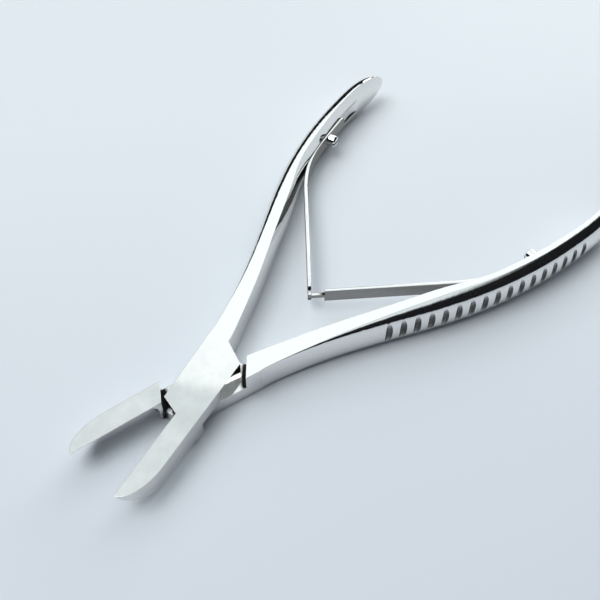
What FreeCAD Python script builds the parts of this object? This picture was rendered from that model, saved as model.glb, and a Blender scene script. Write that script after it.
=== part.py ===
import FreeCAD, Part
import math
import os

# A spring-handled bone rongeur. Two crossed arms are halved into each other at a riveted half-lap
# lock. The hollow-ground jaws point along -X and the handles along +X. The origin is on the pivot
# axis in the flat underside of the lock, and +Z is up. The part stands as its springs hold it, open.
# Every outline below is the left arm's, drawn with the jaws shut. The right arm is its mirror image.
# Sizes are in millimetres and degrees.

# Lock: the crossing where each arm is half as thick as the whole
lock_thickness = 7.2
lap_gap = 0.04
shoulder_gap = 0.3
jaw_shoulder_far = (-7.1, 4.46)
jaw_shoulder_near = -9.25
handle_shoulder_far = (7.9, -5.14)
handle_shoulder_near = (11.7, 0.29)

# Pivot rivet, countersunk at both faces and ground flush
pivot_diameter = 4.0
pivot_head_diameter = 5.6
pivot_press_gap = 0.01
pivot_running_gap = 0.03

# Jaws: straight cutting edges on the flat top plane
jaw_reach = 30.3
jaw_width = 4.85
jaw_nose_length = 10.3
edge_gap = 0.05
edge_land = 0.15
jaw_relief = 1.4
jaw_sole = 0.5
grind_radius = 9.8
grind_corner = 2.5
grind_start = -10.3
relief_start = -8.9
relief_run = 3.2

# Handles: distance from the pivot, then the inner and the outer edge of the top face
handle_root = 12.0
handle_root_inner = 0.3
handle_root_outer = 5.35
handle_reach = 119.3
handle_plan = [
    (20.0, 1.75, 6.05),
    (32.0, 4.40, 8.10),
    (45.0, 7.90, 11.05),
    (58.0, 11.25, 14.25),
    (71.0, 14.95, 16.85),
    (84.0, 16.25, 18.15),
    (97.0, 16.55, 18.10),
    (108.0, 15.60, 17.10),
]
handle_tip_inner = 13.4
handle_tip_outer = 14.5
grip_height = 10.6
swell_end = 64.0
end_round = 11.5
section_pitch = 7.0

# Sides of the handle: nearly flat at the lock, and grown to a dome on the outer side of the grip
flat_bulge = 0.25
dome_width = 3.4
dome_inset = 0.3
palm_bow = 1.0

# Finger grooves across the outer dome of each grip
groove_count = 17
groove_first = 42.9
groove_pitch = 3.58
groove_radius = 1.0
groove_depth = 0.55

# Leaf springs, screwed to the inner sides of the handles and hooked together on the mid-line
rest_half_angle = 12.62
leaf_thickness = 0.9
leaf_width = 3.6
leaf_root_end = 97.0
leaf_bend_start = 84.0
leaf_bend_radius = 37.0
leaf_bend_angle = 30.5
leaf_seat = 15.8
leaf_end_flat = 0.05
leaf_hole_gap = 0.1
seat_margin = 1.0
seat_side_gap = 0.3
seat_wheel = 14.0
seat_wheel_place = 4.0
neck_before = 1.5
neck_height = 2.0
tine_beyond = 0.5
slot_before = 0.9
slot_height = 1.2
tongue_height = 1.0
tongue_thickness = 0.6
tongue_beyond = 0.45
tongue_before = 3.6

# Spring screws
screw_from_root_end = 9.5
screw_diameter = 2.0
screw_gap = 0.03
screw_head_diameter = 3.3
screw_head_height = 2.3
screw_head_edge = 0.45
screw_depth = 2.6
screw_slot_width = 0.5
screw_slot_depth = 0.6
drill_point = 0.5

middle = lock_thickness / 2
screw_place = leaf_root_end - screw_from_root_end
side_room = 20.0
up = FreeCAD.Vector(0, 0, 1)
origin = FreeCAD.Vector(0, 0, 0)


def vec(x, y, z=0.0):
    return FreeCAD.Vector(x, y, z)


def line(a, b):
    return Part.LineSegment(a, b).toShape()


def polygon_prism(points, low, high):
    """A straight prism over (x, y) points, from height low to height high."""
    corners = [vec(x, y, low) for x, y in points]
    face = Part.Face(Part.makePolygon(corners + corners[:1]))
    return face.extrude(vec(0, 0, high - low))


def smooth(value):
    """0 below 0, 1 above 1, and an easy S between them."""
    t = min(1.0, max(0.0, value))
    return t * t * (3 - 2 * t)


def plan_at(x):
    """Inner and outer edge of the handle's top face at distance x, on one smooth curve each."""
    rows = [(handle_root, handle_root_inner, handle_root_outer)] + handle_plan
    rows.append((handle_reach, handle_tip_inner, handle_tip_outer))
    along = [row[0] for row in rows]
    i = max(k for k in range(len(rows) - 1) if along[k] <= x)
    span = along[i + 1] - along[i]
    t = (x - along[i]) / span

    def slope(k, column):
        a = max(0, k - 1)
        b = min(len(rows) - 1, k + 1)
        return (rows[b][column] - rows[a][column]) / (along[b] - along[a])

    edges = []
    for column in (1, 2):
        start = rows[i][column]
        end = rows[i + 1][column]
        bend = (
            (2 * t**3 - 3 * t**2 + 1) * start
            + (t**3 - 2 * t**2 + t) * span * slope(i, column)
            + (3 * t**2 - 2 * t**3) * end
            + (t**3 - t**2) * span * slope(i + 1, column)
        )
        edges.append(bend)
    return edges


def swell_at(x):
    """How far the handle has grown from the lock's section, 0, to the grip's, 1."""
    return smooth((x - handle_root) / (swell_end - handle_root))


def rounding_at(x):
    """The quarter ellipse that closes the end of the handle in side view."""
    past = max(0.0, x - (handle_reach - end_round)) / end_round
    return math.sqrt(max(0.0, 1 - past**2))


def half_height_at(x):
    return (lock_thickness + (grip_height - lock_thickness) * swell_at(x)) / 2 * rounding_at(x)


def dome_at(x):
    """How far the outer side bulges beyond the edge of the flat top."""
    return (flat_bulge + (dome_width - flat_bulge) * swell_at(x)) * rounding_at(x)


def crown_at(x):
    """The outermost line of the handle. The top face's edge is seen a little way into the dome."""
    return plan_at(x)[1] + (1 - dome_inset) * dome_at(x)


def bent(*points):
    curve = Part.BezierCurve()
    curve.setPoles(list(points))
    return curve.toShape()


def handle_section(x):
    """Flat top and bottom, a domed outer side tangent to both, and a palm side slightly bowed."""
    inner = plan_at(x)[0]
    crown = crown_at(x)
    dome = dome_at(x)
    bow = palm_bow * swell_at(x) * rounding_at(x)
    half = half_height_at(x)

    def at(y, z):
        return vec(x, y, middle + z)

    top = at(inner, half)
    top_end = at(crown - dome, half)
    bottom = at(crown - dome, -half)
    bottom_end = at(inner, -half)
    pull = crown + dome / 3
    return Part.Wire([
        line(top, top_end),
        bent(top_end, at(pull, half), at(pull, -half), bottom),
        line(bottom, bottom_end),
        bent(bottom_end, at(inner - 2 * bow, 0), top),
    ])


def handle():
    round_start = handle_reach - end_round
    steps = math.ceil((round_start - handle_root) / section_pitch)
    places = [handle_root + (round_start - handle_root) * k / steps for k in range(steps + 1)]
    places += [round_start + end_round * math.sin(math.radians(a)) for a in (25, 48, 66, 78)]
    return Part.makeLoft([handle_section(x) for x in places], True, False)


def jaw_and_lock():
    """Full-height plate of jaw and lock, with its outline's nose as a quarter ellipse."""
    nose_start = -jaw_reach + jaw_nose_length
    nose = Part.Ellipse(vec(nose_start, -edge_gap), jaw_nose_length, jaw_width - edge_gap)
    nose_edge = Part.ArcOfEllipse(nose, math.pi, 1.5 * math.pi).toShape()
    tip = vec(-jaw_reach, -edge_gap)
    corners = [
        tip,
        vec(jaw_shoulder_near, -edge_gap),
        vec(*jaw_shoulder_far),
        vec(handle_root, handle_root_outer),
        vec(handle_root, handle_root_inner),
        vec(*handle_shoulder_near),
        vec(*handle_shoulder_far),
        vec(nose_start, -jaw_width),
    ]
    edges = [line(a, b) for a, b in zip(corners, corners[1:])]
    face = Part.Face(Part.Wire(Part.__sortEdges__(edges + [nose_edge])))
    return face.extrude(vec(0, 0, lock_thickness))


def grinding_wheel():
    """The wheel that hollows the underside of the jaw up to its cutting edge."""
    high = (-edge_gap, lock_thickness - edge_land)
    low = (-jaw_width + jaw_sole, jaw_relief)
    chord = math.dist(high, low)
    across = ((low[0] - high[0]) / chord, (low[1] - high[1]) / chord)
    reach = math.sqrt(grind_radius**2 - chord**2 / 4)
    centre_y = (high[0] + low[0]) / 2 - across[1] * reach
    centre_z = (high[1] + low[1]) / 2 + across[0] * reach
    back = -jaw_reach - side_room
    length = grind_start - back
    wheel = Part.makeCylinder(grind_radius, length, vec(back, centre_y, centre_z), vec(1, 0, 0))
    rims = [e for e in wheel.Edges if e.BoundBox.XMin > grind_start - 0.01]
    return wheel.makeFillet(grind_corner, rims)


def jaw_underside():
    """What is cut away below the jaw, so that it clears the table in front of the lock."""
    front = -jaw_reach - side_room
    a = vec(relief_start, -side_room, 0)
    b = vec(relief_start - relief_run, -side_room, jaw_relief)
    c = vec(front, -side_room, jaw_relief)
    d = vec(front, -side_room, -side_room)
    e = vec(relief_start, -side_room, -side_room)
    turn = vec(relief_start - relief_run * 0.35, -side_room, jaw_relief * 0.7)
    edges = [Part.Arc(a, turn, b).toShape(), line(b, c), line(c, d), line(d, e), line(e, a)]
    return Part.Face(Part.Wire(edges)).extrude(vec(0, 2 * side_room, 0))


def lap_recess():
    """Room for the other arm's cheek, below the lap. Its shoulder lines are the cheek's, mirrored."""
    low_jaw = vec(jaw_shoulder_far[0], -jaw_shoulder_far[1])
    near_jaw = vec(jaw_shoulder_near, edge_gap)
    near_handle = vec(handle_shoulder_near[0], -handle_shoulder_near[1])
    high_handle = vec(handle_shoulder_far[0], -handle_shoulder_far[1])

    def shifted(a, b, side):
        """The line through a and b moved by the gap, away from the lock, and run past the arm."""
        along = (b - a).normalize()
        out = vec(along.y, -along.x) * shoulder_gap
        if out.x * side < 0:
            out = out * -1
        return a + out - along * side_room, b + out + along * side_room

    p1, p2 = shifted(low_jaw, near_jaw, -1)
    p3, p4 = shifted(high_handle, near_handle, 1)
    corners = [(p.x, p.y) for p in (p1, p2, p3, p4)]
    return polygon_prism(corners, -side_room, middle + lap_gap / 2)


def pivot_hole(gap):
    """The rivet's own shape grown by gap, so that its hole and countersinks follow it."""
    radius = pivot_diameter / 2 + gap
    head = pivot_head_diameter / 2 + gap
    sink = head - radius
    body = Part.makeCylinder(radius, lock_thickness, origin, up)
    upper = Part.makeCone(radius, head, sink, vec(0, 0, lock_thickness - sink), up)
    lower = Part.makeCone(head, radius, sink, origin, up)
    return body.fuse([upper, lower]).removeSplitter()


def grooves():
    """The cutters of the finger grooves, set down in the crown of the outer dome."""
    cutters = []
    x = groove_first
    for k in range(groove_count):
        slope = (crown_at(x + 1) - crown_at(x - 1)) / 2
        out = vec(-slope, 1).normalize()
        centre = vec(x, crown_at(x)) + out * (groove_radius - groove_depth)
        foot = centre + vec(0, 0, middle - grip_height / 2)
        cutters.append(Part.makeCylinder(groove_radius, grip_height, foot, up))
        x += groove_pitch * out.y
    return cutters


def leaf_hub():
    """Centre of the leaf's bend."""
    return vec(leaf_bend_start, leaf_seat - leaf_thickness / 2 - leaf_bend_radius)


def leaf_blade():
    """Start, direction and length of the leaf's straight blade, up to the instrument's mid-line."""
    turn = math.radians(leaf_bend_angle)
    rest = math.tan(math.radians(rest_half_angle))
    start = leaf_hub() + vec(-math.sin(turn), math.cos(turn)) * leaf_bend_radius
    run = vec(-math.cos(turn), -math.sin(turn))
    length = (start.y + start.x * rest) / (math.sin(turn) + math.cos(turn) * rest)
    return start, run, length


def leaf_band(back, front, root, blade):
    """Flat band along the leaf's line, between two offsets from it towards the handle."""
    turn = math.radians(leaf_bend_angle)
    hub = leaf_hub()
    run = leaf_blade()[1]
    sides = []
    for offset in (back, front):
        spoke = leaf_bend_radius + offset
        start = hub + vec(0, spoke)
        half = hub + vec(-math.sin(turn / 2), math.cos(turn / 2)) * spoke
        end = hub + vec(-math.sin(turn), math.cos(turn)) * spoke
        sides.append((vec(root, start.y), start, half, end, end + run * blade))
    a, b = sides
    edges = [
        line(a[0], a[1]),
        Part.Arc(a[1], a[2], a[3]).toShape(),
        line(a[3], a[4]),
        line(a[4], b[4]),
        line(b[4], b[3]),
        Part.Arc(b[3], b[2], b[1]).toShape(),
        line(b[1], b[0]),
        line(b[0], a[0]),
    ]
    return Part.Face(Part.Wire(edges))


def leaf(beyond):
    """The bent strip, from its root on the handle to a length beyond the mid-line."""
    half = leaf_thickness / 2
    face = leaf_band(half, -half, leaf_root_end, leaf_blade()[2] + beyond)
    strip = face.extrude(vec(0, 0, leaf_width))
    strip.translate(vec(0, 0, middle - leaf_width / 2))
    ends = [e for e in strip.Edges if e.BoundBox.XMin > leaf_root_end - 0.01 and e.BoundBox.ZLength < 0.01]
    rounded = strip.makeFillet(leaf_width / 2 - leaf_end_flat, ends)
    return rounded.cut(screw_bore(screw_diameter / 2 + leaf_hole_gap, side_room))


def tip_block(before, beyond, thickness, low, high):
    """A block along the tip of the leaf, from before to beyond the mid-line."""
    start, run, length = leaf_blade()
    tip = start + run * length
    side = vec(-run.y, run.x) * (thickness / 2)
    a = tip - run * before
    b = tip + run * beyond
    corners = [(p.x, p.y) for p in (a + side, b + side, b - side, a - side)]
    return polygon_prism(corners, low, high)


def forked_leaf():
    """The tip narrows to a neck, and a slot makes it a fork."""
    above = tip_block(neck_before, side_room, side_room, middle + neck_height / 2, side_room)
    below = tip_block(neck_before, side_room, side_room, -side_room, middle - neck_height / 2)
    slot = tip_block(slot_before, side_room, side_room, middle - slot_height / 2, middle + slot_height / 2)
    return leaf(tine_beyond).cut([above, below, slot])


def tongue_leaf():
    low = middle - tongue_height / 2
    high = middle + tongue_height / 2
    blade = leaf(tongue_beyond).cut(tip_block(tongue_before, side_room, side_room, -side_room, side_room))
    return blade.fuse(tip_block(tongue_before + 0.5, tongue_beyond, tongue_thickness, low, high)).removeSplitter()


def screw_bore(radius, depth):
    """A round bore from well inside the instrument, through the leaf and into the handle."""
    start = vec(screw_place, leaf_seat - side_room, middle)
    return Part.makeCylinder(radius, side_room + depth, start, vec(0, 1, 0))


def spring_screw():
    """Slotted screw with a tall round head on the leaf and a plain shank for its thread."""
    under = leaf_seat - leaf_thickness
    radius = screw_head_diameter / 2
    head = Part.makeCylinder(radius, screw_head_height, vec(screw_place, under, middle), vec(0, -1, 0))
    rim = [e for e in head.Edges if e.BoundBox.YMax < under - screw_head_height + 0.01]
    head = head.makeChamfer(screw_head_edge, rim)
    slot = Part.makeBox(screw_head_diameter, screw_slot_depth, screw_slot_width)
    slot.translate(vec(screw_place - radius, under - screw_head_height, middle - screw_slot_width / 2))
    shank = Part.makeCylinder(
        screw_diameter / 2, leaf_thickness + screw_depth, vec(screw_place, under, middle), vec(0, 1, 0)
    )
    return head.cut(slot).fuse(shank).removeSplitter()


def spring_seat():
    """The seat milled in the handle for the root and bend of the leaf, with the wheel's run-out."""
    height = leaf_width + 2 * seat_side_gap
    low = middle - height / 2
    face = leaf_band(leaf_thickness / 2, -side_room / 4, leaf_root_end + seat_wheel_place, seat_margin)
    seat = face.extrude(vec(0, 0, height))
    seat.translate(vec(0, 0, low))
    centre = vec(leaf_root_end + seat_wheel_place, leaf_seat - seat_wheel, low)
    return [seat, Part.makeCylinder(seat_wheel, height, centre, up)]


def blank():
    """Jaw, lock and handle of the left arm before the lap is cut."""
    plate = jaw_and_lock().cut([grinding_wheel(), jaw_underside()])
    arm = plate.fuse(handle()).removeSplitter()
    tap = screw_bore(screw_diameter / 2 + screw_gap, screw_depth + drill_point)
    return arm.cut(grooves() + spring_seat() + [tap])


def mirrored(shape):
    return shape.mirror(origin, vec(0, 1, 0))


def turned(shape, side):
    """Turned about the pivot from the shut to the resting place: side is 1 left and -1 right."""
    copy = shape.copy()
    copy.rotate(origin, up, side * rest_half_angle)
    return copy


def upside_down(shape):
    """Turned half round about the X axis through the middle of the lock."""
    copy = shape.copy()
    copy.rotate(vec(0, 0, middle), vec(1, 0, 0), 180)
    return copy


def left_arm():
    return blank().cut([lap_recess(), pivot_hole(pivot_press_gap)])


def right_arm():
    return mirrored(blank()).cut([upside_down(lap_recess()), pivot_hole(pivot_running_gap)])


def export(name, shape):
    solid = shape.Solids[0] if len(shape.Solids) == 1 else shape
    solid.exportStep("parts/" + name + ".step")
    print(name, "solids", len(shape.Solids), "valid", shape.isValid(), "volume", round(shape.Volume, 2))


os.makedirs("parts", exist_ok=True)
export("left_arm", turned(left_arm(), 1))
export("right_arm", turned(right_arm(), -1))
export("pivot_rivet", pivot_hole(0.0))
export("forked_leaf_spring", turned(forked_leaf(), 1))
export("tongue_leaf_spring", turned(mirrored(tongue_leaf()), -1))
export("left_spring_screw", turned(spring_screw(), 1))
export("right_spring_screw", turned(mirrored(spring_screw()), -1))
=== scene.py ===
import math

import bmesh
import bpy
from mathutils import Matrix, Vector


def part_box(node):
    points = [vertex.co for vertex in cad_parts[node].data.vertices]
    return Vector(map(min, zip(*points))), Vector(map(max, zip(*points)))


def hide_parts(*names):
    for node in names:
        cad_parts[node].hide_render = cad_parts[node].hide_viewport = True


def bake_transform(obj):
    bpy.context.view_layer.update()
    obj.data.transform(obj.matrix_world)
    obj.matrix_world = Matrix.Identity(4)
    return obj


bl_info = {
    "name": "Bone rongeur",
    "version": (1, 0, 0),
    "blender": (4, 5, 0),
    "location": "3D View > Sidebar > Rongeur",
    "description": "Dresses the packed bone rongeur with its steel finishes, leaf springs and studio",
    "category": "Object",
}

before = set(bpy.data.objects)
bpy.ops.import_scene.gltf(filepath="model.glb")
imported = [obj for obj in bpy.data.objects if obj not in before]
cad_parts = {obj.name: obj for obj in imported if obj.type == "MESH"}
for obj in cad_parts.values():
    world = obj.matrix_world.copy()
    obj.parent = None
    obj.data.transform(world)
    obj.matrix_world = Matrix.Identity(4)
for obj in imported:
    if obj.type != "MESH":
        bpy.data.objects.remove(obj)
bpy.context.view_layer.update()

MM = 0.001
REST_ANGLE = math.radians(12.62)
LOCK_TOP = 7.2 * MM
MIDDLE = LOCK_TOP / 2


# Colours and nodes


def linear(code):
    """The linear colour of an sRGB hex value such as C8CDD2."""
    parts = [int(code[i : i + 2], 16) / 255 for i in (0, 2, 4)]
    return tuple(c / 12.92 if c <= 0.04045 else ((c + 0.055) / 1.055) ** 2.4 for c in parts)


def add(tree, kind, inputs, **settings):
    """Adds a node with its settings. Each input gets a value or a link from another node's output."""
    node = tree.nodes.new(kind)
    for name, value in settings.items():
        setattr(node, name, value)
    for name, value in inputs.items():
        if isinstance(value, bpy.types.NodeSocket):
            tree.links.new(value, node.inputs[name])
        else:
            node.inputs[name].default_value = value
    return node


def new_material(name):
    """An empty node material and its tree."""
    material = bpy.data.materials.new(name)
    material.use_nodes = True
    material.node_tree.nodes.clear()
    return material, material.node_tree


# Settings in the sidebar


class RongeurSteel(bpy.types.PropertyGroup):
    """Finish of the arms, the rivet, the springs and the screws."""

    steel: bpy.props.FloatVectorProperty(
        name="Steel",
        description="Colour that the polished steel gives to its reflections",
        subtype="COLOR",
        default=linear("ECEBE9"),
        min=0,
        max=1,
    )
    # Painted shade: the dark colour that grooves and inner corners are darkened towards, also the colour of
    # the cloudy buffing patches.
    patch_and_shade_colour: bpy.props.FloatVectorProperty(
        name="Unpolished steel",
        description="Colour of the grooves and corners that the buffing wheel doesn't reach",
        subtype="COLOR",
        default=linear("1E1D1C"),
        min=0,
        max=1,
    )
    strip: bpy.props.FloatVectorProperty(
        name="Rolled strip",
        description="Colour of the springs' broad faces",
        subtype="COLOR",
        default=linear("8E8C8A"),
        min=0,
        max=1,
    )
    polish: bpy.props.FloatProperty(
        name="Polish roughness",
        description="Roughness of the buffed arms",
        subtype="FACTOR",
        default=0.07,
        min=0,
        max=1,
    )
    satin: bpy.props.FloatProperty(
        name="Jaw roughness",
        description="Roughness of the ground jaws",
        subtype="FACTOR",
        default=0.16,
        min=0,
        max=1,
    )
    patches: bpy.props.FloatProperty(
        name="Buffing patches",
        description="How much the cloudy patches dull the steel",
        subtype="FACTOR",
        default=0.075,
        min=0,
        max=1,
    )
    edge: bpy.props.FloatProperty(
        name="Edge break",
        description="Radius of the broken edges",
        default=0.12 * MM,
        min=0,
        unit="LENGTH",
    )


class RongeurSpring(bpy.types.PropertyGroup):
    """Sizes of the two hooked leaf springs."""

    thickness: bpy.props.FloatProperty(
        name="Thickness",
        description="Thickness of the strip",
        default=0.9 * MM,
        unit="LENGTH",
    )
    width: bpy.props.FloatProperty(
        name="Width",
        description="Width of the strip",
        default=3.6 * MM,
        unit="LENGTH",
    )
    edge: bpy.props.FloatProperty(
        name="Edge round",
        description="Rounding along the strip's edges",
        default=0.15 * MM,
        unit="LENGTH",
    )


class RongeurStudio(bpy.types.PropertyGroup):
    """The table, the curtain and the lights."""

    floor: bpy.props.FloatVectorProperty(
        name="Table",
        description="Colour of the lacquered table top",
        subtype="COLOR",
        default=linear("EEF3F8"),
        min=0,
        max=1,
    )
    # Painted shade: the darker colour of the table top towards its near right corner.
    shaded_floor: bpy.props.FloatVectorProperty(
        name="Greyed table",
        description="Colour of the table top at its near right corner, where the lacquer has greyed",
        subtype="COLOR",
        default=linear("DADFE9"),
        min=0,
        max=1,
    )
    felt: bpy.props.FloatVectorProperty(
        name="Curtain",
        description="Colour of the felt curtain",
        subtype="COLOR",
        default=linear("262628"),
        min=0,
        max=1,
    )
    ceiling: bpy.props.FloatVectorProperty(
        name="Ceiling",
        description="Colour of the ceiling",
        subtype="COLOR",
        default=linear("F1FCFF"),
        min=0,
        max=1,
    )
    sky: bpy.props.FloatProperty(
        name="Ceiling brightness",
        description="Brightness of the ceiling",
        default=0.90,
        min=0,
    )
    lamp: bpy.props.FloatProperty(
        name="Soft box",
        description="Power of the soft box above the instrument",
        default=10.8,
        min=0,
        unit="POWER",
    )
    window: bpy.props.FloatProperty(
        name="Window",
        description="Power of the wide window that the top faces mirror",
        default=0.8,
        min=0,
        unit="POWER",
    )
    low_window: bpy.props.FloatProperty(
        name="Low window",
        description="Power of the low window behind the handles",
        default=3.9,
        min=0,
        unit="POWER",
    )


# Steel


# Places along an arm, from the pivot towards the handles
SATIN_START = -8 * MM
SATIN_FULL = -12 * MM
PATCHES_START = 15 * MM
PATCHES_FULL = 5 * MM
# Distances from the pivot axis
RIVET_ZONE = 3.2 * MM
ROOT_STEP = 13 * MM
ROOT_STEP_HALF = 1.2 * MM
# Grooves and corners this narrow get painted shade, found by ambient occlusion.
SHADE_REACH = 1.6 * MM
UNPOLISHED_ROUGHNESS = 0.45
STRIP_ROUGHNESS = 0.3
# Marks of polishing. Hairlines are about 0.05 mm apart, drawn at 0.2 mm so that they show in the render.
HAIRLINE_WIDTH = 0.2 * MM
HAIRLINE_LENGTH = 9 * MM
HAIRLINE_DEPTH = 0.004 * MM
WAVE_SIZE = 12 * MM
WAVE_DEPTH = 0.01 * MM
HAZE_SIZE = 7 * MM
PATCH_SIZE = 3 * MM


def distance_from_pivot(tree, place):
    """Distance of each point from the pivot axis."""
    level = add(tree, "ShaderNodeVectorMath", {0: place, 1: (1, 1, 0)}, operation="MULTIPLY")
    return add(tree, "ShaderNodeVectorMath", {0: level.outputs[0]}, operation="LENGTH").outputs["Value"]


def buffing_patches(tree, place, look):
    """Cloudy patches that buffing leaves, which mirror a little less than the rest."""
    cloud = add(tree, "ShaderNodeTexNoise", {"Vector": place, "Scale": 1 / PATCH_SIZE, "Detail": 4.0})
    return add(
        tree,
        "ShaderNodeMapRange",
        {"Value": cloud.outputs["Fac"], "From Min": 0.35, "From Max": 0.65, "To Min": look.patches,
         "To Max": 0.0},
    ).outputs[0]


def polish_haze(tree, place, look):
    """Roughness of the polish, which drifts over a few millimetres."""
    haze = add(tree, "ShaderNodeTexNoise", {"Vector": place, "Scale": 1 / HAZE_SIZE, "Detail": 3.0})
    return add(
        tree,
        "ShaderNodeMapRange",
        {"Value": haze.outputs["Fac"], "From Min": 0.3, "From Max": 0.7, "To Min": look.polish * 0.6,
         "To Max": look.polish * 1.4},
    ).outputs[0]


def arm_finish(tree, place, look, rough, patch):
    """Roughness and patches of an arm: ground jaws, a patchy lock and handles from a second, finer wheel."""
    along = add(tree, "ShaderNodeSeparateXYZ", {"Vector": place}).outputs["X"]
    satin = add(
        tree,
        "ShaderNodeMapRange",
        {"Value": along, "From Min": SATIN_START, "From Max": SATIN_FULL, "To Min": 0.0,
         "To Max": look.satin},
    )
    lock = add(
        tree,
        "ShaderNodeMapRange",
        {"Value": along, "From Min": PATCHES_START, "From Max": PATCHES_FULL, "To Min": 0.0, "To Max": 1.0},
    )
    rough = add(tree, "ShaderNodeMath", {0: rough, 1: satin.outputs[0]}, operation="MAXIMUM")
    patch = add(tree, "ShaderNodeMath", {0: patch, 1: lock.outputs[0]}, operation="MULTIPLY")
    return rough.outputs[0], patch.outputs[0]


def groove_painted_shade(tree, from_pivot):
    """Share of painted shade at each point: the grooves and the inner corners are darkened, found by ambient
    occlusion.
    """
    open_air = add(tree, "ShaderNodeAmbientOcclusion", {"Distance": SHADE_REACH}, samples=16, only_local=True)
    groove_shade = add(
        tree,
        "ShaderNodeMapRange",
        {"Value": open_air.outputs["AO"], "From Min": 0.98, "From Max": 0.90, "To Min": 0.0, "To Max": 1.0},
    )
    # The step where the handle leaves the lock is filed and polished smooth, and gets no painted shade.
    from_step = add(tree, "ShaderNodeMath", {0: from_pivot, 1: ROOT_STEP}, operation="SUBTRACT")
    off_step = add(tree, "ShaderNodeMath", {0: from_step.outputs[0]}, operation="ABSOLUTE")
    rest = add(tree, "ShaderNodeMath", {0: off_step.outputs[0], 1: ROOT_STEP_HALF}, operation="GREATER_THAN")
    return add(
        tree, "ShaderNodeMath", {0: groove_shade.outputs[0], 1: rest.outputs[0]}, operation="MULTIPLY"
    ).outputs[0]


def rolled_faces(tree, look, steel, rough, normal):
    """Colour and roughness of rolled strip: bright only on its narrow edges, dull on its broad faces."""
    upward = add(tree, "ShaderNodeSeparateXYZ", {"Vector": normal}).outputs["Z"]
    up_or_down = add(tree, "ShaderNodeMath", {0: upward}, operation="ABSOLUTE")
    narrow = add(
        tree,
        "ShaderNodeMapRange",
        {"Value": up_or_down.outputs[0], "From Min": 0.4, "From Max": 0.7, "To Min": 0.0, "To Max": 1.0},
    ).outputs[0]
    steel = add(tree, "ShaderNodeMix", {0: narrow, 6: (*look.strip, 1), 7: steel}, data_type="RGBA")
    rough = add(tree, "ShaderNodeMix", {0: narrow, 2: STRIP_ROUGHNESS, 3: rough})
    return steel.outputs[2], rough.outputs[0]


def worked_surface(tree, place, look, lay, from_pivot, normal):
    """Normal with broken edges, the slight waves of hand polishing and hairlines along lay."""
    broken = add(tree, "ShaderNodeBevel", {"Radius": look.edge}, samples=6)
    # The rivet was ground flush with both cheeks, so its rim isn't broken like the other edges.
    off_rivet = add(tree, "ShaderNodeMath", {0: from_pivot, 1: RIVET_ZONE}, operation="GREATER_THAN")
    edge = add(
        tree,
        "ShaderNodeMix",
        {0: off_rivet.outputs[0], 4: normal, 5: broken.outputs[0]},
        data_type="VECTOR",
    )
    wave = add(tree, "ShaderNodeTexNoise", {"Vector": place, "Scale": 1 / WAVE_SIZE, "Detail": 0.0})
    soft = add(
        tree,
        "ShaderNodeBump",
        {"Height": wave.outputs["Fac"], "Strength": 1.0, "Distance": WAVE_DEPTH, "Normal": edge.outputs[1]},
    )
    along = add(
        tree,
        "ShaderNodeMapping",
        {"Vector": place, "Rotation": (0, 0, -lay),
         "Scale": (1 / HAIRLINE_LENGTH, 1 / HAIRLINE_WIDTH, 1 / HAIRLINE_WIDTH)},
    )
    hairline = add(tree, "ShaderNodeTexNoise", {"Vector": along.outputs[0], "Scale": 1.0, "Detail": 2.0})
    return add(
        tree,
        "ShaderNodeBump",
        {"Height": hairline.outputs["Fac"], "Strength": 0.35, "Distance": HAIRLINE_DEPTH,
         "Normal": soft.outputs[0]},
    ).outputs[0]


def steel_material(name, lay, arm=False, rolled=False):
    """Stainless steel with a cloth-wheel polish: mirror bright with a faint haze, and hairlines along lay.

    The jaws of an arm are flat ground and only lightly buffed, so they look softer.
    The rivet and the screws are turned and get the lock's polish, with its faint cloudy patches.
    Rolled strip is bright only on its narrow edges, and darker and duller on its broad faces.
    """
    look = bpy.context.scene.rongeur_steel
    material, tree = new_material(name)
    place = add(tree, "ShaderNodeTexCoord", {}).outputs["Object"]
    normal = add(tree, "ShaderNodeNewGeometry", {}).outputs["Normal"]
    from_pivot = distance_from_pivot(tree, place)
    rough = polish_haze(tree, place, look)
    patch = buffing_patches(tree, place, look)
    if arm:
        rough, patch = arm_finish(tree, place, look, rough, patch)
    # Painted shade: grooves and inner corners are darkened towards the dark colour, with a rougher surface.
    groove_shade = groove_painted_shade(tree, from_pivot)
    patch_and_shade_colour = (*look.patch_and_shade_colour, 1)
    steel = add(tree, "ShaderNodeMix", {0: patch, 6: (*look.steel, 1), 7: patch_and_shade_colour}, data_type="RGBA")
    steel = add(tree, "ShaderNodeMix", {0: groove_shade, 6: steel.outputs[2], 7: patch_and_shade_colour}, data_type="RGBA")
    steel = steel.outputs[2]
    rough = add(tree, "ShaderNodeMix", {0: groove_shade, 2: rough, 3: UNPOLISHED_ROUGHNESS}).outputs[0]
    if rolled:
        steel, rough = rolled_faces(tree, look, steel, rough, normal)
    worked = worked_surface(tree, place, look, lay, from_pivot, normal)
    shader = add(
        tree,
        "ShaderNodeBsdfPrincipled",
        {"Base Color": steel, "Metallic": 1.0, "Roughness": rough, "Normal": worked},
    )
    add(tree, "ShaderNodeOutputMaterial", {"Surface": shader.outputs[0]})
    return material


def dress(node, material):
    """Gives a CAD node its material."""
    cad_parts[node].data.materials.clear()
    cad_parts[node].data.materials.append(material)


class RONGEUR_OT_arms(bpy.types.Operator):
    """Polish the two arms"""

    bl_idname = "rongeur.arms"
    bl_label = "Arms"

    def execute(self, context):
        for node, side in (("left_arm", 1), ("right_arm", -1)):
            dress(node, steel_material(f"cloth_polished_stainless_{node}", side * REST_ANGLE, arm=True))
        return {"FINISHED"}


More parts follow.
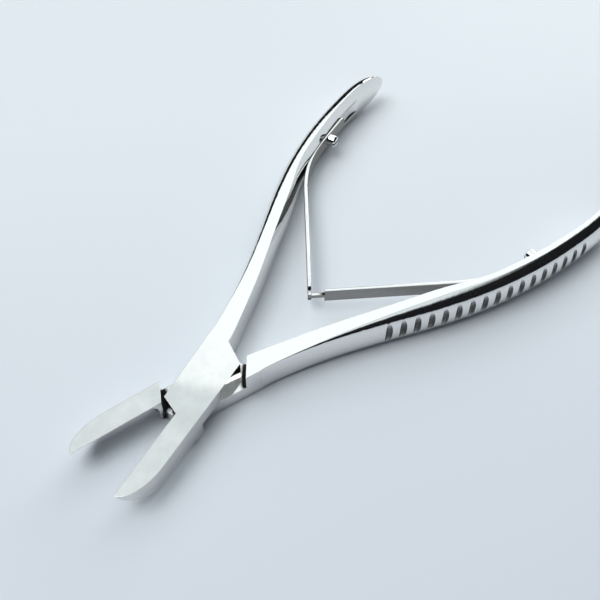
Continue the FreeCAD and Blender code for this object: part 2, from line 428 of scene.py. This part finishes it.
class RONGEUR_OT_fasteners(bpy.types.Operator):
    """Polish the rivet and the spring screws"""

    bl_idname = "rongeur.fasteners"
    bl_label = "Rivet and screws"

    def execute(self, context):
        for node in ("pivot_rivet", "left_spring_screw", "right_spring_screw"):
            dress(node, steel_material(f"turned_stainless_{node}", 0.0))
        return {"FINISHED"}


# Leaf springs


ROOT_END = 97.0 * MM
SCREW_PLACE = 87.5 * MM
BEND_START = 84.0 * MM
BEND_RADIUS = 37.0 * MM
BEND_ANGLE = math.radians(30.5)
SEAT = 15.8 * MM
SCREW_HOLE = 1.1 * MM
# The tips, from the middle line of the instrument
FORK_BACK = -1.5 * MM
FORK_TIP = 0.5 * MM
SLOT_END = -0.9 * MM
TINES_HALF = 1.0 * MM
SLOT_HALF = 0.6 * MM
TONGUE_BACK = -3.6 * MM
TONGUE_TIP = 0.45 * MM
TONGUE_HALF = 0.5 * MM
CUT_SPACING = 1.5 * MM


def leaf_line(along, thickness):
    """Point and outward direction on the left leaf's line, a distance along it from its root end."""
    hub = Vector((BEND_START, SEAT - thickness / 2 - BEND_RADIUS))
    root = ROOT_END - BEND_START
    bend = BEND_RADIUS * BEND_ANGLE
    turn = min(max(0.0, (along - root) / BEND_RADIUS), BEND_ANGLE)
    out = Vector((-math.sin(turn), math.cos(turn)))
    point = hub + out * BEND_RADIUS
    if along < root:
        point.x += root - along
    if along > root + bend:
        point -= Vector((out.y, -out.x)) * (along - root - bend)
    return point, out


def leaf_reach(thickness):
    """Length of the leaf from its root end to the middle line of the instrument."""
    start, out = leaf_line(ROOT_END - BEND_START + BEND_RADIUS * BEND_ANGLE, thickness)
    rest = math.tan(REST_ANGLE)
    run = Vector((-out.y, out.x))
    blade = (start.y + start.x * rest) / (-run.y - run.x * rest)
    return ROOT_END - BEND_START + BEND_RADIUS * BEND_ANGLE + blade


def arc(centre, radius, start, end, steps):
    """Points on an arc, angles in degrees."""
    return [
        (centre[0] + radius * math.cos(math.radians(start + (end - start) * k / steps)),
         centre[1] + radius * math.sin(math.radians(start + (end - start) * k / steps)))
        for k in range(steps + 1)
    ]


def flat_strip(name, outline, hole, spring):
    """Mesh of a flat strip with rounded edges, from its outline and its screw hole."""
    flat = bpy.data.curves.new(name, "CURVE")
    flat.dimensions = "2D"
    flat.fill_mode = "BOTH"
    flat.extrude = spring.thickness / 2 - spring.edge
    flat.bevel_depth = spring.edge
    flat.bevel_resolution = 2
    flat.offset = -spring.edge
    for loop in (outline, hole):
        spline = flat.splines.new("POLY")
        spline.points.add(len(loop) - 1)
        spline.use_cyclic_u = True
        for point, (x, y) in zip(spline.points, loop):
            point.co = (x, y, 0, 1)
    pattern = bpy.data.objects.new(name, flat)
    bpy.context.scene.collection.objects.link(pattern)
    mesh = bpy.data.meshes.new_from_object(pattern)
    bpy.data.objects.remove(pattern)
    return mesh


def leaf_piece(name, tip_outline, side):
    """Strip of sheet steel from its own flat outline, bent along the leaf's line."""
    spring = bpy.context.scene.rongeur_spring
    half = spring.width / 2
    reach = leaf_reach(spring.thickness)
    outline = arc((half, 0), half, 90, 270, 16)
    outline += [(reach + x, y) for x, y in tip_outline]
    hole = arc((ROOT_END - SCREW_PLACE, 0), SCREW_HOLE, 0, 350, 35)
    mesh = flat_strip(name, outline, hole, spring)
    strip = bmesh.new()
    strip.from_mesh(mesh)
    bmesh.ops.remove_doubles(strip, verts=strip.verts, dist=0.001 * MM)
    cuts = int(reach / CUT_SPACING)
    for k in range(1, cuts):
        everything = strip.verts[:] + strip.edges[:] + strip.faces[:]
        bmesh.ops.bisect_plane(strip, geom=everything, plane_co=(reach * k / cuts, 0, 0), plane_no=(1, 0, 0))
    for vertex in strip.verts:
        x, y, z = vertex.co
        point, out = leaf_line(x, spring.thickness)
        point += out * z
        vertex.co = (point.x, point.y, MIDDLE + y)
    turn = Matrix.Rotation(side * REST_ANGLE, 4, "Z") @ Matrix.Diagonal((1, side, 1, 1))
    strip.transform(turn)
    bmesh.ops.recalc_face_normals(strip, faces=strip.faces)
    strip.to_mesh(mesh)
    strip.free()
    mesh.name = name
    mesh.shade_smooth()
    mesh.set_sharp_from_angle(angle=math.radians(40))
    piece = bpy.data.objects.new(name, mesh)
    bpy.context.scene.collection.objects.link(piece)
    root, out = leaf_line(ROOT_END - BEND_START, spring.thickness)
    tip, out = leaf_line(reach, spring.thickness)
    start = turn @ Vector((root.x, root.y, MIDDLE))
    end = turn @ Vector((2 * tip.x - root.x, 2 * tip.y - root.y, MIDDLE))
    return piece, start, end


class RONGEUR_OT_springs(bpy.types.Operator):
    """Bend the two leaf springs and hook them together"""

    bl_idname = "rongeur.springs"
    bl_label = "Leaf springs"

    def execute(self, context):
        half = context.scene.rongeur_spring.width / 2
        fork = [
            (FORK_BACK, -half), (FORK_BACK, -TINES_HALF), (FORK_TIP, -TINES_HALF), (FORK_TIP, -SLOT_HALF),
            (SLOT_END, -SLOT_HALF), (SLOT_END, SLOT_HALF), (FORK_TIP, SLOT_HALF), (FORK_TIP, TINES_HALF),
            (FORK_BACK, TINES_HALF), (FORK_BACK, half),
        ]
        tongue = [
            (TONGUE_BACK, -half), (TONGUE_BACK, -TONGUE_HALF), (TONGUE_TIP, -TONGUE_HALF),
            (TONGUE_TIP, TONGUE_HALF), (TONGUE_BACK, TONGUE_HALF), (TONGUE_BACK, half),
        ]
        left, start, end = leaf_piece("forked_leaf", fork, 1)
        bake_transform(left)
        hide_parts("forked_leaf_spring")
        right, start, end = leaf_piece("tongue_leaf", tongue, -1)
        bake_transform(right)
        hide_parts("tongue_leaf_spring")
        for piece in (left, right):
            piece.data.materials.append(steel_material(f"rolled_spring_steel_{piece.name}", 0.0, rolled=True))
        return {"FINISHED"}


# Studio


TABLE_REACH = 3.0
TABLE_GAP = 0.02 * MM
# Where the instrument lies on the table, along its middle line
LOCK_FRONT = -9 * MM
GRIP_LOW = 75 * MM
# The table top gets painted shade, darker against this direction, between these two places.
SHADE_WAY = (0.6, 0.8, 0)
SHADE_START = 100 * MM
SHADE_FULL = -130 * MM
# The curtain's distance, and its heights as the instrument sees them
CURTAIN_DISTANCE = 1.3
CURTAIN_FOOT = -0.1
CURTAIN_HIGH = math.radians(66)
CURTAIN_LOW = math.radians(29)
CURTAIN_SHEER = math.radians(50)
# Bearing of its low middle, and how far from there it starts to climb and goes on climbing
CURTAIN_OPEN = math.radians(65)
CURTAIN_CLIMB_START = math.radians(62)
CURTAIN_CLIMB = math.radians(26)
LAMPS_AIM = Vector((0.03, 0, 0))
CAMERA_PLACE = Vector((-55.85, -77.21, 151.46)) * MM
CAMERA_VIEW = Vector((0.4695, 0.4122, -0.7808))
CAMERA_ROLL = math.radians(0.74)
CAMERA_LENS = 47.70


def soft_box(name, power, azimuth, rise, distance, size):
    """A rectangular lamp in a direction from the instrument, in degrees, facing it."""
    lamp = bpy.data.lights.new(name, "AREA")
    lamp.shape = "RECTANGLE"
    lamp.size, lamp.size_y = size
    lamp.energy = power
    box = bpy.data.objects.new(name, lamp)
    bpy.context.scene.collection.objects.link(box)
    turn = math.radians(azimuth)
    up = math.radians(rise)
    way = Vector((math.cos(turn) * math.cos(up), math.sin(turn) * math.cos(up), math.sin(up)))
    box.location = LAMPS_AIM + way * distance
    box.rotation_euler = (-way).to_track_quat("-Z", "Y").to_euler()


def staged(name, corners, faces, material):
    """A mesh of the studio, which is no part of the instrument."""
    mesh = bpy.data.meshes.new(name)
    mesh.from_pydata(corners, [], faces)
    mesh.materials.append(material)
    thing = bpy.data.objects.new(name, mesh)
    bpy.context.scene.collection.objects.link(thing)
    return thing


def lacquer_material(studio):
    """Pale lacquer with a soft gloss, with painted shade that darkens it a little towards the near right
    corner of the table.
    """
    material, tree = new_material("lacquered_table_top")
    place = add(tree, "ShaderNodeTexCoord", {}).outputs["Object"]
    along = add(tree, "ShaderNodeVectorMath", {0: place, 1: SHADE_WAY}, operation="DOT_PRODUCT")
    # Painted shade: the table darkens towards its near right corner.
    table_shade = add(
        tree,
        "ShaderNodeMapRange",
        {"Value": along.outputs["Value"], "From Min": SHADE_START, "From Max": SHADE_FULL, "To Min": 0.0,
         "To Max": 1.0},
    )
    lacquer = add(
        tree,
        "ShaderNodeMix",
        {0: table_shade.outputs[0], 6: (*studio.floor, 1), 7: (*studio.shaded_floor, 1)},
        data_type="RGBA",
    )
    shader = add(
        tree,
        "ShaderNodeBsdfPrincipled",
        {"Base Color": lacquer.outputs[2], "Roughness": 0.5, "Specular IOR Level": 0.15},
    )
    add(tree, "ShaderNodeOutputMaterial", {"Surface": shader.outputs[0]})
    return material


def felt_material(studio):
    """Black felt, matt, which turns sheer towards the top of the curtain."""
    material, tree = new_material("black_felt_curtain")
    felt = add(tree, "ShaderNodeBsdfDiffuse", {"Color": (*studio.felt, 1)})
    clear = add(tree, "ShaderNodeBsdfTransparent", {})
    place = add(tree, "ShaderNodeTexCoord", {}).outputs["Object"]
    height = add(tree, "ShaderNodeSeparateXYZ", {"Vector": place})
    sheer = add(
        tree,
        "ShaderNodeMapRange",
        {"Value": height.outputs["Z"], "From Min": CURTAIN_DISTANCE * math.tan(CURTAIN_SHEER),
         "From Max": CURTAIN_DISTANCE * math.tan(CURTAIN_HIGH), "To Min": 0.0, "To Max": 1.0},
    )
    shader = add(tree, "ShaderNodeMixShader", {0: sheer.outputs[0], 1: felt.outputs[0], 2: clear.outputs[0]})
    add(tree, "ShaderNodeOutputMaterial", {"Surface": shader.outputs[0]})
    return material


def add_table(studio):
    """The table top. The lock's flat underside and the lowest edge of each grip lie on it."""
    grips_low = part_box("left_arm")[0].z
    slope = (grips_low + TABLE_GAP) / (GRIP_LOW - LOCK_FRONT)
    corners = [
        (x * TABLE_REACH, y * TABLE_REACH, slope * (x * TABLE_REACH - LOCK_FRONT) - TABLE_GAP)
        for x, y in ((-1, -1), (1, -1), (1, 1), (-1, 1))
    ]
    staged("table_top", corners, [(0, 1, 2, 3)], lacquer_material(studio))


def curtain_top(azimuth):
    """Height of the curtain: low where the window stands, high on the side of the room."""
    away = abs((azimuth - CURTAIN_OPEN + math.pi) % (2 * math.pi) - math.pi)
    share = min(1.0, max(0.0, (away - CURTAIN_CLIMB_START) / CURTAIN_CLIMB))
    share = share * share * (3 - 2 * share)
    return CURTAIN_DISTANCE * math.tan(CURTAIN_LOW + (CURTAIN_HIGH - CURTAIN_LOW) * share)


def add_curtain(studio):
    """A felt curtain around the table, which the steel mirrors and the camera doesn't see."""
    ring = [math.radians(a) for a in range(0, 360, 5)]
    foot = [(CURTAIN_DISTANCE * math.cos(a), CURTAIN_DISTANCE * math.sin(a)) for a in ring]
    corners = [(x, y, CURTAIN_FOOT) for x, y in foot]
    corners += [(x, y, curtain_top(a)) for (x, y), a in zip(foot, ring)]
    n = len(ring)
    faces = [(k, (k + 1) % n, n + (k + 1) % n, n + k) for k in range(n)]
    staged("felt_curtain", corners, faces, felt_material(studio)).visible_camera = False


def add_ceiling(studio):
    """The white ceiling lights everything. Beyond the table's edge the camera sees the table's colour."""
    world = bpy.data.worlds.new("white_ceiling")
    bpy.context.scene.world = world
    world.use_nodes = True
    world.node_tree.nodes.clear()
    tree = world.node_tree
    path = add(tree, "ShaderNodeLightPath", {})
    tint = add(
        tree,
        "ShaderNodeMix",
        {0: path.outputs["Is Camera Ray"], 6: (*studio.ceiling, 1), 7: (*studio.floor, 1)},
        data_type="RGBA",
    )
    ceiling = add(tree, "ShaderNodeBackground", {"Color": tint.outputs[2], "Strength": studio.sky})
    add(tree, "ShaderNodeOutputWorld", {"Surface": ceiling.outputs[0]})


def add_camera():
    """The camera in the photograph's place, as the two mirrored arms gave it."""
    lens = bpy.data.cameras.new("camera")
    lens.sensor_width = 36
    lens.lens = CAMERA_LENS
    lens.clip_start = 0.01
    camera = bpy.data.objects.new("camera", lens)
    bpy.context.scene.collection.objects.link(camera)
    turn = CAMERA_VIEW.to_track_quat("-Z", "Y").to_matrix().to_4x4()
    camera.matrix_world = Matrix.Translation(CAMERA_PLACE) @ turn @ Matrix.Rotation(CAMERA_ROLL, 4, "Z")
    bpy.context.scene.camera = camera


class RONGEUR_OT_studio(bpy.types.Operator):
    """Set up the table, the curtain, the ceiling, the soft boxes and the camera"""

    bl_idname = "rongeur.studio"
    bl_label = "Studio"

    def execute(self, context):
        studio = context.scene.rongeur_studio
        add_table(studio)
        add_curtain(studio)
        add_ceiling(studio)
        soft_box("key_soft_box", studio.lamp, azimuth=140, rise=66, distance=1.6, size=(1.0, 1.0))
        soft_box("window", studio.window, azimuth=31, rise=45, distance=1.0, size=(1.25, 0.56))
        soft_box("low_window", studio.low_window, azimuth=15, rise=18, distance=1.2, size=(0.8, 0.4))
        add_camera()
        context.scene.view_settings.view_transform = "Standard"
        return {"FINISHED"}


# Sidebar


class RONGEUR_PT_panel(bpy.types.Panel):
    """The rongeur's settings and steps"""

    bl_label = "Bone rongeur"
    bl_idname = "RONGEUR_PT_panel"
    bl_space_type = "VIEW_3D"
    bl_region_type = "UI"
    bl_category = "Rongeur"

    def draw(self, context):
        for group in ("rongeur_steel", "rongeur_spring", "rongeur_studio"):
            box = self.layout.box()
            settings = getattr(context.scene, group)
            for name in settings.__annotations__:
                box.prop(settings, name)
        for step in STEPS:
            self.layout.operator(step.bl_idname)


GROUPS = (RongeurSteel, RongeurSpring, RongeurStudio)
STEPS = (RONGEUR_OT_studio, RONGEUR_OT_arms, RONGEUR_OT_fasteners, RONGEUR_OT_springs)


def register():
    for item in (*GROUPS, *STEPS, RONGEUR_PT_panel):
        bpy.utils.register_class(item)
    bpy.types.Scene.rongeur_steel = bpy.props.PointerProperty(type=RongeurSteel)
    bpy.types.Scene.rongeur_spring = bpy.props.PointerProperty(type=RongeurSpring)
    bpy.types.Scene.rongeur_studio = bpy.props.PointerProperty(type=RongeurStudio)


def unregister():
    del bpy.types.Scene.rongeur_studio
    del bpy.types.Scene.rongeur_spring
    del bpy.types.Scene.rongeur_steel
    for item in reversed((*GROUPS, *STEPS, RONGEUR_PT_panel)):
        bpy.utils.unregister_class(item)


def main():
    register()
    bpy.ops.rongeur.studio()
    bpy.ops.rongeur.arms()
    bpy.ops.rongeur.fasteners()
    bpy.ops.rongeur.springs()


if __name__ == "__main__":
    main()
